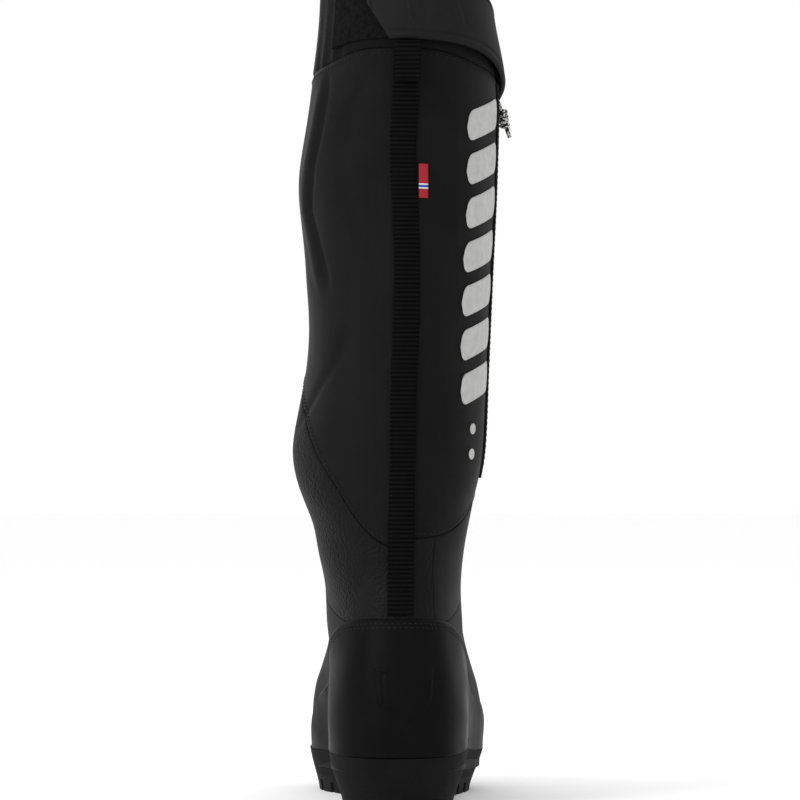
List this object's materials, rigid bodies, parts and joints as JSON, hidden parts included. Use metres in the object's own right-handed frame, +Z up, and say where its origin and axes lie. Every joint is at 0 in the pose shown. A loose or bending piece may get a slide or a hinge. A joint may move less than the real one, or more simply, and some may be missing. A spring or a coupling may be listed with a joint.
{
  "type": "mountaineering boot",
  "caption": "Tall insulated mountaineering boot with a lugged sole, a built-in zipped gaiter to mid-calf, a removable foam inner boot and a wide cuff strap.",
  "frame": {"origin": "on the floor under the middle of the sole's length and width", "axes": "+Z up, +Y towards the toe, +X towards the outer side of this right boot"},
  "size_m": [0.1308, 0.3032, 0.4972],
  "materials": {
    "outsole_rubber": "matt black lugged rubber",
    "midsole_rubber": "matt dark grey moulded cup",
    "shank": "fibre-filled strip",
    "board": "stiff board",
    "footbed": "felted foam",
    "stiffener": "thermoformed sheet",
    "liner_foam": "faced foam",
    "lace": "braided cord",
    "lace_webbing": "webbing",
    "upper_fabric": "coated nylon",
    "rand": "smooth coated rand",
    "ballistic_fabric": "pebbled coated weave",
    "gaiter_fabric": "smooth nylon",
    "fleece": "brushed fleece",
    "cuff_fabric": "woven nylon",
    "binding_tape": "folded tape",
    "webbing": "ribbed webbing",
    "woven_tab": "woven red tab with a pale stripe",
    "reflective_print": "pale grey reflective film",
    "zip_tape": "woven tape",
    "zip_plastic": "moulded plastic",
    "slider_metal": "black lacquered metal",
    "pull_cord": "black and white flecked braid",
    "strap_rubber": "moulded matt strap",
    "hook": "hook fastener",
    "loop": "loop fastener"
  },
  "bodies": {
    "foot": {"outsole": "outsole_rubber", "midsole": "midsole_rubber", "shank": "shank", "insole_board": "board", "footbed": "footbed", "heel_stiffener": "stiffener", "toe_stiffener": "stiffener", "inner_boot": "liner_foam", "tongue": "liner_foam", "laces": "lace", "lace_loops": "lace_webbing", "vamp": "upper_fabric", "quarter_medial": "upper_fabric", "quarter_lateral": "upper_fabric", "heel_cup": "rand", "toe_cap": "rand"},
    "shaft": {"ankle_panel": "ballistic_fabric", "ankle_side_panel": "gaiter_fabric", "gaiter_medial": "gaiter_fabric", "gaiter_lateral": "gaiter_fabric", "shaft_lining": "fleece", "cuff_band": "cuff_fabric", "cuff_binding": "binding_tape", "heel_webbing": "webbing", "side_tab": "woven_tab", "reflective_marks": "reflective_print", "zip_tapes": "zip_tape", "zip_teeth": "zip_plastic", "zip_stops": "zip_plastic", "zip_welts": "binding_tape", "loop_patch": "loop", "strap_anchor": "strap_rubber"},
    "slider": {"zip_slider": "slider_metal"},
    "pull": {"zip_pull": "pull_cord"},
    "strap": {"closure_strap": "strap_rubber", "hook_patch": "hook"},
    "loop": {"heel_loop": "webbing"}
  },
  "joints": [
    {"name": "ankle_flex", "type": "hinge", "parent": "foot", "child": "shaft", "pos_m": [0, -0.061, 0.128], "axis": [-1, 0, 0], "range_deg": [-5, 15], "stiffness_Nm_per_rad": 14, "deforming": ["inner_boot", "tongue", "ankle_panel", "ankle_side_panel", "heel_webbing"]},
    {"name": "zip_slide", "type": "slide", "parent": "shaft", "child": "slider", "axis": [-0.0386, -0.0301, -0.9988], "range_m": [0, 0.2075]},
    {"name": "pull_swing", "type": "hinge", "parent": "slider", "child": "pull", "pos_m": [0.0583, -0.06026, 0.41984], "axis": [0.0268, -0.9992, 0.0291], "range_deg": [0, 90]},
    {"name": "strap_open", "type": "hinge", "parent": "shaft", "child": "strap", "pos_m": [0.05345, -0.026, 0.432], "axis": [0, 0, 1], "range_deg": [0, 100]},
    {"name": "loop_swing", "type": "hinge", "parent": "shaft", "child": "loop", "pos_m": [0.0064, -0.13545, 0.446], "axis": [-1, 0, 0], "range_deg": [0, 110]}
  ]
}
